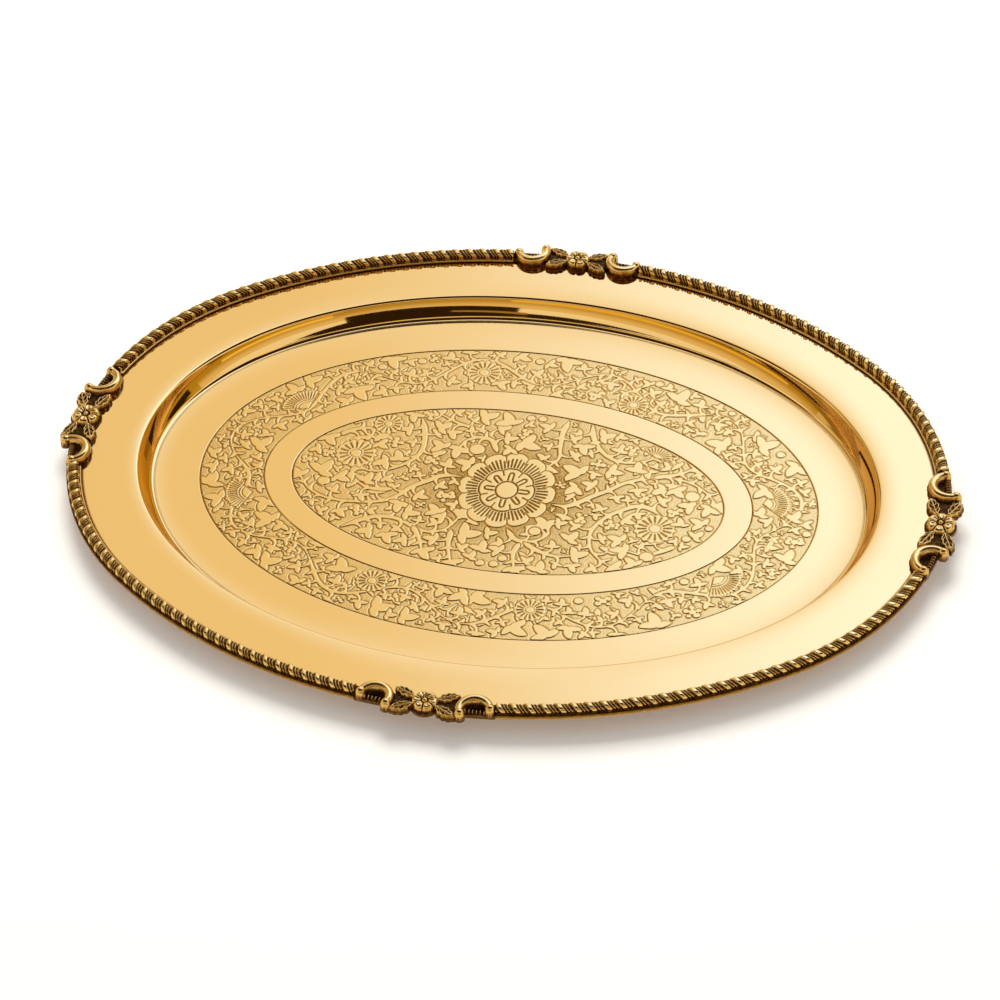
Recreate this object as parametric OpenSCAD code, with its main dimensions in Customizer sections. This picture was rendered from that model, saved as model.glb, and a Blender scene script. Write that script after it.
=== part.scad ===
// Oval brass serving tray: a pressed pan, a cast rope border in four strips
// and four cast flower ornaments between them.
// The frame stands on z = 0 at the middle of the pan's underside; +X is the tray's length.

/* [Oval] */
// Length over the rope border
tray_l = 391; // [375:1:410]
// Width over the rope border
tray_w = 303; // [292:1:315]
// Radius of the two end arcs, at the border's outer edge
end_r = 128; // [124:0.5:133]

/* [Pan] */
// Thickness of the brass sheet
sheet_t = 1.2; // [0.8:0.1:1.5]
// Depth of the well, from the rim's top down to the floor
well_depth = 10.3; // [8:0.1:14]
// Inset of the wall's top from the border's outer edge
wall_inset = 29.5; // [24:0.5:36]
// Slope of the wall against the floor, in degrees
wall_angle = 62; // [45:1:75]
// Radius of the bend at the wall's top, on the upper face
crest_r = 1.8; // [1.6:0.1:3]
// Radius of the cove at the wall's foot, on the upper face
cove_r = 2.6; // [1.5:0.1:4]

/* [Engraved lines] */
// Inset of the engraved band's outer line from the border's outer edge
band_outer_inset = 57.8; // [54:0.1:62]
// Inset of the engraved band's inner line
band_inner_inset = 86.2; // [82:0.1:92]
// Inset of the medallion's line
medallion_inset = 98.9; // [96:0.1:104]
// Width of an engraved line
line_w = 0.6; // [0.4:0.1:1]
// Depth of an engraved line
line_depth = 0.25; // [0.1:0.05:0.4]
// Fullness of the lines' ends: 1 gives the end radius of an ellipse
line_fullness = 1.18; // [1.05:0.01:1.3]

/* [Rope border] */
// Inset of the sheet's edge, inside the castings' rebate
edge_inset = 2; // [1.6:0.1:2.4]
// Gap between the sheet's edge and the rebate
edge_gap = 0.1; // [0.05:0.05:0.3]
// Width of the border strip
strip_w = 6.6; // [6:0.1:8]
// Height of the strip's ledges above the rim
ledge_h = 1.3; // [0.8:0.1:2]
// Width of the ledge outside the rope bead
outer_ledge = 0.4; // [0.2:0.1:0.8]
// Radius of the rope bead
bead_r = 2.6; // [2.2:0.1:2.7]
// Height of the bead's centre above the rim
bead_rise = 1.7; // [1.2:0.1:2.2]
// Lobes of the rope in each strip
lobes = 33; // [25:1:40]
// Slant of the lobes, in degrees from straight across
lobe_slant = 28; // [10:1:40]
// Radius of the groove between two lobes
groove_r = 1.1; // [0.8:0.05:1.4]
// Depth of the groove between two lobes
groove_depth = 0.55; // [0.3:0.05:0.8]
// Gap between a strip and an ornament, which the solder fills
joint_gap = 0.15; // [0.05:0.05:0.3]

/* [Ornaments] */
// Length of an end ornament along the border
ornament_l = 68; // [64:0.5:72]
// Size of the side ornaments, against the end ones
side_size = 0.89; // [0.85:0.01:1]
// Height of the ornament's ground above the rim
ground_h = 2; // [1.5:0.1:2.6]
// Radius of a scroll, at the middle of its roll
scroll_r = 7.2; // [6.8:0.1:7.6]
// Inset of a scroll's middle from the border's outer edge
scroll_inset = 1; // [0.6:0.1:1.6]
// Where a scroll starts beside the strip, in degrees from straight outwards
scroll_from = 100; // [90:1:115]
// Where a scroll ends beside the leaves, in degrees from straight outwards
scroll_to = 292; // [280:1:305]
// Radius of the scroll's round roll
roll_r = 1.8; // [1.5:0.1:2.1]
// Radius of the balls that end a scroll
ball_r = 2.3; // [2:0.1:2.6]
// Radius over the flower's petals
flower_r = 6.4; // [5.8:0.1:6.8]
// Petals of the flower
petals = 6; // [5:1:8]
// Height of the petals' tops above the rim
petal_top = 4.6; // [4:0.1:5.4]
// Radius of the bead in the flower's middle
eye_r = 1.2; // [0.9:0.1:1.5]
// Inset of the flower's middle from the border's outer edge
flower_inset = 3.4; // [3:0.1:3.8]
// Length of a leaf
leaf_l = 12; // [11:0.1:13]
// Width of a leaf
leaf_w = 6; // [5:0.1:6.6]
// Slope of the leaves away from the border, in degrees
leaf_slope = 24; // [18:1:30]
// Height of the leaves' tops above the rim
leaf_top = 3.4; // [3:0.1:4]
// How far a leaf runs in under the petals
leaf_tuck = 1.1; // [0.8:0.1:1.8]
// How much higher the underside of the ground is than the underside of the strip
ground_lift = 0.4; // [0.2:0.1:0.8]
// Width of the ground that shows around a leaf
leaf_margin = 0.5; // [0.3:0.1:0.8]
// Width of the ground that shows around the flower
flower_margin = 0.6; // [0.3:0.1:0.8]

/* [Hidden] */
$fn = 96;
arc_fn = 150;
brass = [0.86, 0.66, 0.32];
cast_brass = [0.74, 0.55, 0.27];
over = 1;

// The border's oval: two end arcs and two side arcs that meet without a corner. The side arcs'
// radius is kept to a hundredth, so that a strip's two sections meet face to face.
half_l = tray_l / 2;
half_w = tray_w / 2;
end_c = half_l - end_r;
side_r = round(100 * side_radius(half_l, half_w, end_r)) / 100;
side_c = side_r - half_w;
join_a = atan2(side_c, end_c);

// Heights
rim_z = sheet_t + well_depth;
rim_under_z = rim_z - sheet_t;
ledge_z = rim_z + ledge_h;
bead_z = rim_z + bead_rise;
ground_z = rim_z + ground_h;

// The ground under a leaf tapers: circles of this share of the leaf's width, this share of its
// length out from its middle, carry it on towards the tips.
leaf_taper = 1 / 3;

// The wall, from the crest's start down to the cove's end
bend_r = crest_r + cove_r;
bend_drop = bend_r * (1 - cos(wall_angle));
wall_run = bend_r * sin(wall_angle) + (well_depth - bend_drop) / tan(wall_angle);
floor_inset = wall_inset + wall_run;
bend_steps = 8;
pan_eye = sheet_t / 4;

// The strips and the ornaments share the oval's edge between them.
bead_inset = bead_r + outer_ledge;
end_half = ornament_l / 2;
side_half = side_size * end_half;
strip_arc = end_r * join_a * PI / 180 + side_r * (90 - join_a) * PI / 180
  - end_half - side_half - 2 * joint_gap;
lobe_pitch = strip_arc / lobes;

// The radius of the side arcs of an oval of half length a and half width b, with end arcs of r
function side_radius(a, b, r) = (pow(a - r, 2) + pow(b, 2) - pow(r, 2)) / (2 * (b - r));

// The angle that a length along an arc takes up
function arc_angle(length, r) = length / r * 180 / PI;

// How far a leaf's middle and its tip lie from the flower's middle
function leaf_reach(size) = size * (flower_r + leaf_l / 2 - leaf_tuck);
function leaf_tips(size) = leaf_reach(size) + size * leaf_l / 2;

function reversed(list) = [for (i = [len(list) - 1:-1:0]) list[i]];

// Points of the pan's upper face, or of its underside where below = sheet_t, as [inset, z].
function crest(below) = [
  for (i = [0:bend_steps])
    let (a = wall_angle * i / bend_steps)
      [wall_inset + (crest_r - below) * sin(a), rim_z - crest_r + (crest_r - below) * cos(a)]
];

function cove(below) = [
  for (i = [bend_steps:-1:0])
    let (a = wall_angle * i / bend_steps)
      [floor_inset - (cove_r + below) * sin(a), sheet_t + cove_r - (cove_r + below) * cos(a)]
];

function pan_section() = concat(
  [[edge_inset, rim_z]], crest(0), cove(0), [[end_r - pan_eye, sheet_t], [end_r - pan_eye, 0]],
  reversed(cove(sheet_t)), reversed(crest(sheet_t)), [[edge_inset, rim_under_z]]
);

// Turns a section of [inset, z] about the middle of an arc of radius r.
module sector(r, from, to) {
  rotate([0, 0, from])
    rotate_extrude(angle = to - from, $fn = arc_fn)
      translate([r, 0])
        mirror([1, 0])
          children();
}

module at_end_arc() {
  translate([end_c, 0, 0]) children();
}

module at_side_arc() {
  translate([0, -side_c, 0]) children();
}

// Carries a section of [inset, z] all round an oval of half length a and half width b.
module around(a, b, r) {
  to_side = side_radius(a, b, r) - b;
  join = atan2(to_side, a - r);
  for (turn = [0, 180])
    rotate([0, 0, turn]) {
      translate([a - r, 0, 0]) sector(r, -join, join) children();
      translate([0, -to_side, 0]) sector(b + to_side, join, 180 - join) children();
    }
}

module engraved_line(inset) {
  a = half_l - inset;
  b = half_w - inset;
  around(a, b, line_fullness * b * b / a)
    translate([-line_w / 2, sheet_t - line_depth]) square([line_w, line_depth + over]);
}

// The pan's sectors stop just short of the end arcs' middles, and this fills the eye between them.
module floor_middle() {
  translate([0, 0, sheet_t / 2])
    cube([2 * end_c + 4 * pan_eye, 2 * (half_w - end_r) + end_c / 2, sheet_t], center = true);
}

module pan() {
  color(brass)
    difference() {
      union() {
        around(half_l, half_w, end_r) polygon(pan_section());
        floor_middle();
      }
      engraved_line(band_outer_inset);
      engraved_line(band_inner_inset);
      engraved_line(medallion_inset);
    }
}

// The strip's section: a rope bead between two ledges, with a rebate for the sheet's edge.
module strip_section() {
  wall = edge_inset - edge_gap;
  difference() {
    union() {
      translate([0, rim_under_z]) square([strip_w, ledge_z - rim_under_z]);
      translate([bead_inset, bead_z]) circle(r = bead_r);
    }
    translate([wall, rim_under_z - over]) square([strip_w, sheet_t + over]);
  }
}

// One groove between two lobes, across the bead's top.
module groove(r, angle, slant) {
  rotate([0, 0, angle])
    translate([r - bead_inset, 0, bead_z + bead_r + groove_r - groove_depth])
      rotate([0, 90, slant])
        cylinder(r = groove_r, h = 4 * bead_r, center = true, $fn = 32);
}

// The strip from the end ornament to the side ornament of one quarter, built from the meeting of
// its two arcs, with the end arc's middle at the origin and the meeting on +X.
module strip(slant) {
  end_a = join_a - arc_angle(end_half + joint_gap, end_r);
  side_a = 90 - join_a - arc_angle(side_half + joint_gap, side_r);
  end_arc = end_a * end_r * PI / 180;
  at_end_arc()
    rotate([0, 0, join_a])
      difference() {
        union() {
          mirror([0, 1, 0]) sector(end_r, 0, end_a) strip_section();
          past_meeting() sector(side_r, 0, side_a) strip_section();
        }
        for (i = [0:lobes - 1]) {
          along = (i + 0.5) * lobe_pitch - end_arc;
          if (along < 0)
            groove(end_r, arc_angle(along, end_r), slant);
          else
            past_meeting() groove(side_r, arc_angle(along, side_r), slant);
        }
      }
}

module past_meeting() {
  translate([end_r - side_r, 0, 0]) children();
}

module border_back_right() {
  color(cast_brass) strip(lobe_slant);
}

module border_back_left() {
  color(cast_brass) mirror([1, 0, 0]) strip(-lobe_slant);
}

module border_front_left() {
  color(cast_brass) rotate([0, 0, 180]) strip(lobe_slant);
}

module border_front_right() {
  color(cast_brass) rotate([0, 0, 180]) mirror([1, 0, 0]) strip(-lobe_slant);
}

// A cap of a large ball: a dome of radius r and height h over z = 0.
module dome(r, h) {
  ball = (r * r + h * h) / (2 * h);
  intersection() {
    translate([0, 0, h - ball]) sphere(r = ball);
    cylinder(r = r + over, h = h + over);
  }
}

module flower(size, low) {
  rise = petal_top - low;
  petal_r = size * flower_r * 0.42;
  for (i = [0:petals - 1])
    rotate([0, 0, (i + 0.5) * 360 / petals])
      translate([size * flower_r - petal_r, 0, 0]) dome(petal_r, rise);
  cylinder(r = size * flower_r * 0.5, h = rise / 2);
  translate([0, 0, rise / 2]) sphere(r = eye_r);
}

// A pointed leaf along +X with a domed top, from z = 0.
module leaf(size, rise) {
  half_l = size * leaf_l / 2;
  half_w = size * leaf_w / 2;
  side = (pow(half_l, 2) + pow(half_w, 2)) / (2 * half_w);
  intersection() {
    linear_extrude(height = rise + over)
      intersection() {
        translate([0, side - half_w]) circle(r = side);
        translate([0, half_w - side]) circle(r = side);
      }
    dome(half_l + over, rise);
  }
}

// About half a turn of round roll, open outwards, that ends in balls.
module scroll(size) {
  r = size * scroll_r;
  turn = scroll_to - scroll_from;
  rotate([0, 0, scroll_from]) {
    rotate_extrude(angle = turn, $fn = 72)
      translate([r, 0]) circle(r = roll_r, $fn = 32);
    for (a = [0, turn])
      rotate([0, 0, a]) translate([r, 0, 0]) rotate([90, 0, 0]) sphere(r = ball_r);
  }
}

// The ground that carries the flower, the leaves and the scrolls with their balls. It is filled
// between the leaves and under the balls, so that it has no eyelets at any length.
module ground_outline(r, size, half) {
  translate([r - flower_inset, 0]) {
    circle(r = size * flower_r + flower_margin);
    square(
      2 * [leaf_reach(size) * sin(leaf_slope), leaf_tips(size) * cos(leaf_slope)],
      center = true
    );
    for_each_leaf(size) {
      circle(r = size * leaf_w / 2 + leaf_margin);
      for (end = [-1, 1])
        translate([end * size * leaf_l * leaf_taper, 0]) circle(r = size * leaf_w * leaf_taper);
    }
  }
  intersection() {
    circle(r = r - outer_ledge, $fn = arc_fn);
    for_each_scroll(r, size, half) circle(r = size * scroll_r + roll_r);
  }
  for_each_scroll(r, size, half)
    for (end = [scroll_from, scroll_to])
      rotate([0, 0, end]) translate([size * scroll_r, 0]) circle(r = ball_r);
}

// Each leaf's middle, with the leaf along +X, from the flower's middle.
module for_each_leaf(size) {
  reach = leaf_reach(size);
  for (side = [0, 1], back = [0, 1])
    mirror([0, side]) mirror([back, 0])
      rotate([0, 0, 90 - leaf_slope]) translate([reach, 0]) children();
}

// Each scroll's middle, with +X outwards and +Y away from the flower.
module for_each_scroll(r, size, half) {
  along = half - size * scroll_r - ball_r;
  for (side = [0, 1])
    mirror([0, side])
      rotate([0, 0, arc_angle(along, r)]) translate([r - scroll_inset, 0]) children();
}

// A cast ornament on +X of an arc of radius r, which reaches half to each side along it.
module ornament(r, size, half) {
  half_a = arc_angle(half, r);
  roll_lift = roll_r / 3;
  difference() {
    union() {
      sector(r, -half_a, half_a)
        translate([0, rim_under_z]) square([strip_w, ledge_z - rim_under_z]);
      translate([0, 0, rim_under_z + ground_lift])
        linear_extrude(height = ground_z - rim_under_z - ground_lift) ground_outline(r, size, half);
      translate([0, 0, ground_z]) {
        translate([r - flower_inset, 0, 0]) {
          flower(size, ground_h);
          for_each_leaf(size) leaf(size, leaf_top - ground_h);
        }
        translate([0, 0, roll_lift]) for_each_scroll(r, size, half) scroll(size);
      }
    }
    translate([0, 0, rim_under_z - over])
      cylinder(r = r - edge_inset + edge_gap, h = sheet_t + over, $fn = arc_fn);
  }
}

module ornament_right() {
  color(cast_brass) at_end_arc() ornament(end_r, 1, end_half);
}

module ornament_back() {
  color(cast_brass) at_side_arc() rotate([0, 0, 90]) ornament(side_r, side_size, side_half);
}

module ornament_left() {
  rotate([0, 0, 180]) ornament_right();
}

module ornament_front() {
  rotate([0, 0, 180]) ornament_back();
}

pan();
border_back_right();
border_back_left();
border_front_left();
border_front_right();
ornament_right();
ornament_back();
ornament_left();
ornament_front();
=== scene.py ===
from math import atan, atan2, cos, pi, radians, sin, tan, tau

import bpy
import numpy as np
from mathutils import Matrix, Vector


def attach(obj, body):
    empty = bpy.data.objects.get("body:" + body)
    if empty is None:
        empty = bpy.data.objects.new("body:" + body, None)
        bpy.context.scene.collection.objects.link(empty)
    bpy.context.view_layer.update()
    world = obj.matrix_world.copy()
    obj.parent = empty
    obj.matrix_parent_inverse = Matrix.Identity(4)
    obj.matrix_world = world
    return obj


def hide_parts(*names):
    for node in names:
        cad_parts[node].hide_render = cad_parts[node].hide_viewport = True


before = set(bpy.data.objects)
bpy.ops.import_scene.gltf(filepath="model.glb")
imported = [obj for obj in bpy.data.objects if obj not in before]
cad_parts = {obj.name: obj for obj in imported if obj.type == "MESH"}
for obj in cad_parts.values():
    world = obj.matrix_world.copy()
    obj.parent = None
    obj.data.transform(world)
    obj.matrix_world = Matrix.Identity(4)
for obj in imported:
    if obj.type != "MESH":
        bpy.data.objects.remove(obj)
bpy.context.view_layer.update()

# Sizes are in millimetres in the CAD's frame, and new_piece turns them into metres. Names in Z are heights
# over the table. An inset is a distance in from the border's outer edge.
MM = 0.001
CORNERS = ((-1, -1), (1, -1), (1, 1), (-1, 1))

# The border's outer edge: two end arcs and two side arcs that meet smoothly
HALF_L = 195.5
HALF_W = 151.5
END_R = 128.0
END_C = HALF_L - END_R  # from the tray's middle to an end arc's middle
SIDE_R = round((END_C**2 + HALF_W**2 - END_R**2) / (2 * (HALF_W - END_R)), 2)
SIDE_C = SIDE_R - HALF_W
JOIN = atan2(SIDE_C, END_C)  # the normal's angle where two arcs meet
QUARTER = END_R * JOIN + SIDE_R * (pi / 2 - JOIN)  # the edge's length in a quarter of the tray

# The sheet, and the heights of its upper face
SHEET = 1.2
FLOOR_Z = SHEET
RIM_Z = 11.5
RIM_UNDER = RIM_Z - SHEET
RIM_SAG = 0.55  # how far the rim sinks towards the wall
SAG_FROM = 17.5  # the inset up to which the rim is flat
WALL_INSET = 29.8
WALL_ANGLE = radians(62)
WALL_BOW = 0.2  # how far the wall is hollowed
WALL_RUN = 8  # about how far the foot is from the crest
CREST_INSET = WALL_INSET + 0.4
CREST_R = 1.8
COVE_R = 2.6
FLOOR_LIFT = 0.6  # how far the floor rises towards the wall
FLOOR_FLAT = 53.0  # the inset from which the floor is flat
BEND_POWER = 2.5  # how late the sag and the lift set in

# The engraved ellipses' insets, and how deep the engraving goes
BAND_OUT = 57.8
BAND_IN = 86.2
MEDALLION = 98.9
LINE_DEPTH = 0.21
GROUND_DEPTH = 0.1
CUT_DEPTH = 0.16
DEEPEST = 0.3
SHELF_Z = 0.6  # the engraved pieces lie on this level inside the sheet

# Half lengths of the end and side ornaments along the edge, and the gap between them and the ropes
END_HALF = 34.0
SIDE_SIZE = 0.89
SIDE_HALF = SIDE_SIZE * END_HALF
JOINT = 0.15


# ---- small tools

def smooth(x, low, high):
    """0 at low, 1 at high, with a soft start and end."""
    t = np.clip((x - low) / (high - low), 0.0, 1.0)
    return t * t * (3.0 - 2.0 * t)


def blur(a, sigma):
    """A Gaussian blur of a 2-D array, sigma in cells."""
    n = max(1, int(3 * sigma))
    k = np.exp(-0.5 * (np.arange(-n, n + 1) / sigma) ** 2)
    k /= k.sum()
    for _ in range(2):
        p = np.pad(a, ((n, n), (0, 0)), mode="edge")
        a = sum(k[i] * p[i : i + len(a)] for i in range(2 * n + 1)).T
    return a


def link_object(name, data):
    """A new object of the scene that holds this data."""
    made = bpy.data.objects.new(name, data)
    bpy.context.scene.collection.objects.link(made)
    return made


def new_piece(name, verts, faces, patina_and_shade, material, slot, node, extra=(), flat=0):
    """A piece from quads in millimetres, plus a few larger faces, which stands for a CAD node.

    It is smooth, apart from the extra faces and the last quads, as many as flat says.
    """
    mesh = bpy.data.meshes.new(name)
    loops = np.concatenate([np.ravel(faces), *extra]).astype(np.int32)
    totals = np.array([4] * len(faces) + [len(face) for face in extra], np.int32)
    mesh.vertices.add(len(verts))
    mesh.vertices.foreach_set("co", (np.ravel(verts) * MM).astype(np.float32))
    mesh.loops.add(len(loops))
    mesh.loops.foreach_set("vertex_index", loops)
    mesh.polygons.add(len(totals))
    mesh.polygons.foreach_set("loop_start", (np.cumsum(totals) - totals).astype(np.int32))
    mesh.polygons.foreach_set("loop_total", totals)
    flats = np.arange(len(totals)) >= len(faces) - flat
    mesh.polygons.foreach_set("use_smooth", ~flats)
    mesh.update(calc_edges=True)
    # A flat face's edges are sharp, or its smooth neighbours' shading bends towards it.
    edge_of = np.empty(len(loops), np.int32)
    mesh.loops.foreach_get("edge_index", edge_of)
    sharp = np.zeros(len(mesh.edges), bool)
    sharp[edge_of[np.repeat(flats, totals)]] = True
    mesh.edges.foreach_set("use_edge_sharp", sharp)
    mesh.validate()
    # The attribute carries tarnish, and painted shade at the rope border's feet.
    mark = mesh.attributes.new("patina_and_shade", "FLOAT", "POINT")
    mark.data.foreach_set("value", np.asarray(patina_and_shade, np.float32).ravel())
    mesh.materials.append(material)
    piece = link_object(name, mesh)
    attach(piece, "root")
    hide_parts(node)


def tube(name, points, patina_and_shade, material, slot, node):
    """A piece from rows of points, each of them a loop, with a face over its first and its last loop."""
    rows, cols, _ = points.shape
    number = np.arange(rows * cols).reshape(rows, cols)
    after = np.roll(number, -1, 1)
    quads = np.stack([number[:-1], number[1:], after[1:], after[:-1]], -1).reshape(-1, 4)
    ends = [number[0, ::-1], number[-1]]
    new_piece(name, points.reshape(-1, 3), quads[:, ::-1], patina_and_shade, material, slot, node, ends)


# ---- the oval

def oval(theta):
    """Points of the border's outer edge at polar angles theta, and the outward normals there."""
    c = np.abs(np.cos(theta))
    s = np.abs(np.sin(theta))
    end_t = END_C * c + np.sqrt(END_R**2 - (END_C * s) ** 2)
    side_t = -SIDE_C * s + np.sqrt(SIDE_R**2 - (SIDE_C * c) ** 2)
    meet = atan2(END_R * sin(JOIN), END_C + END_R * cos(JOIN))
    at_end = np.arctan2(s, c) < meet
    t = np.where(at_end, end_t, side_t)
    x, y = t * c, t * s
    nx = np.where(at_end, (x - END_C) / END_R, x / SIDE_R)
    ny = np.where(at_end, y / END_R, (y + SIDE_C) / SIDE_R)
    flip = np.where(np.stack([np.cos(theta), np.sin(theta)], -1) < 0, -1.0, 1.0)
    return np.stack([x, y], -1) * flip, np.stack([nx, ny], -1) * flip


OVAL_TO = 8.0  # rings are the border's oval up to this inset
ELLIPSE_FROM = 27.0  # and ellipses from this one


def ring(inset, t):
    """Points at an inset: on the border an offset of its edge, and from the wall inwards an ellipse."""
    ellipse = np.stack([(HALF_L - inset) * np.cos(t), (HALF_W - inset) * np.sin(t)], -1)
    edge, normal = oval(np.arctan2(HALF_W * np.sin(t), HALF_L * np.cos(t)))
    k = float(smooth(np.array(inset), OVAL_TO, ELLIPSE_FROM))
    return (1 - k) * (edge - inset * normal) + k * ellipse


def along_edge(s):
    """The arc's middle and radius, and the normal, at lengths s along the edge, leftwards from +X."""
    q = np.floor(s / QUARTER).astype(int) % 4
    u = s - np.floor(s / QUARTER) * QUARTER
    u = np.where(q % 2 == 1, QUARTER - u, u)
    end_length = END_R * JOIN
    at_end = u < end_length
    angle = np.where(at_end, u / END_R, JOIN + (u - end_length) / SIDE_R)
    radius = np.where(at_end, END_R, SIDE_R)
    cx = np.where(at_end, END_C, 0.0)
    cy = np.where(at_end, 0.0, -SIDE_C)
    flip_x = np.where((q == 1) | (q == 2), -1.0, 1.0)
    flip_y = np.where(q >= 2, -1.0, 1.0)
    nx, ny = np.cos(angle) * flip_x, np.sin(angle) * flip_y
    return cx * flip_x, cy * flip_y, radius, nx, ny


# ---- materials

def add_node(nt, kind, inputs=None, **settings):
    """A shader node with these settings. Its inputs take values, or the sockets that feed them."""
    node = nt.nodes.new("ShaderNode" + kind)
    for key, value in settings.items():
        setattr(node, key, value)
    for key, value in (inputs or {}).items():
        if isinstance(value, bpy.types.NodeSocket):
            nt.links.new(value, node.inputs[key])
        else:
            node.inputs[key].default_value = value
    return node


def calculate(nt, operation, *values, clamp=False):
    """The Math node's answer for these values and sockets."""
    return add_node(nt, "Math", dict(enumerate(values)), operation=operation, use_clamp=clamp).outputs[0]


def remap(nt, value, low, high, to_low=0.0, to_high=1.0, **settings):
    """A value carried from one range to another, and held at its ends."""
    ranges = {"Value": value, "From Min": low, "From Max": high, "To Min": to_low, "To Max": to_high}
    return add_node(nt, "MapRange", ranges, **settings).outputs[0]


def mix_colours(nt, share, first, second, **settings):
    """A tone between two colours, which are inputs 6 and 7 of the Mix node and leave by output 2."""
    return add_node(nt, "Mix", {0: share, 6: first, 7: second}, data_type="RGBA", **settings).outputs[2]


def noise(nt, place, scale, detail):
    """The value of a noise texture."""
    return add_node(nt, "TexNoise", {"Vector": place, "Scale": scale, "Detail": detail}).outputs["Fac"]


def brass(name, base, warm, deep, rough, grain, dulling, mottle):
    """Polished brass that the patina_and_shade attribute darkens and dulls: tarnish in its recesses, and
    painted shade at the rope border's feet.

    The darkening carries the colour from base over warm to deep, and adds dulling to the roughness. Soft
    clouds darken the base by mottle, and grain is the strength of the polishing marks.
    """
    material = bpy.data.materials.new(name)
    material.use_nodes = True
    nt = material.node_tree
    shader = nt.nodes["Principled BSDF"]
    shader.inputs["Metallic"].default_value = 1.0
    place = add_node(nt, "TexCoord").outputs["Object"]
    patina_and_shade = add_node(nt, "Attribute", attribute_name="patina_and_shade").outputs["Fac"]

    # Large soft clouds in the metal's tone, and fine grains in the tarnish and the painted shade
    shaded = [v * (1 - mottle) for v in base]
    tone = mix_colours(nt, noise(nt, place, 18.0, 5.0), (*base, 1), (*shaded, 1))
    grains = remap(nt, noise(nt, place, 700.0, 3.0), 0.3, 0.7, 0.8, 1.15)
    depth = calculate(nt, "MULTIPLY", patina_and_shade, grains, clamp=True)

    # Tarnish and painted shade tan the metal first and then brown it.
    tanned = mix_colours(nt, remap(nt, depth, 0.0, 0.5), tone, (*warm, 1))
    colour = mix_colours(nt, remap(nt, depth, 0.4, 1.0), tanned, (*deep, 1))

    # Hairline polishing marks: noise drawn out along the tray's length
    drawn_out = add_node(nt, "Mapping", {"Vector": place, "Scale": (60.0, 1400.0, 400.0)}).outputs[0]
    hair = noise(nt, drawn_out, 1.0, 3.0)
    gloss = calculate(nt, "MULTIPLY_ADD", hair, rough * 0.7, rough * 0.65)
    dull = calculate(nt, "MULTIPLY_ADD", depth, dulling, gloss)
    bump = add_node(nt, "Bump", {"Height": hair, "Strength": grain, "Distance": 0.00002}).outputs[0]
    for key, value in (("Base Color", colour), ("Roughness", dull), ("Normal", bump)):
        nt.links.new(value, shader.inputs[key])
    return material


sheet_brass = brass(
    "sheet_brass",
    base=(0.9, 0.57, 0.195), warm=(0.36, 0.17, 0.03), deep=(0.07, 0.03, 0.009),
    rough=0.045, grain=0.06, dulling=0.35, mottle=0.05,
)
engraved_brass = brass(
    "engraved_brass",
    base=(0.9, 0.57, 0.18), warm=(0.4, 0.18, 0.015), deep=(0.09, 0.035, 0.006),
    rough=0.14, grain=0.15, dulling=0.3, mottle=0.08,
)
cast_brass = brass(
    "cast_brass",
    base=(0.93, 0.62, 0.21), warm=(0.38, 0.18, 0.03), deep=(0.055, 0.023, 0.005),
    rough=0.2, grain=0.2, dulling=0.3, mottle=0.08,
)


# ---- the pan

PAN_STEPS = 640


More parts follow.
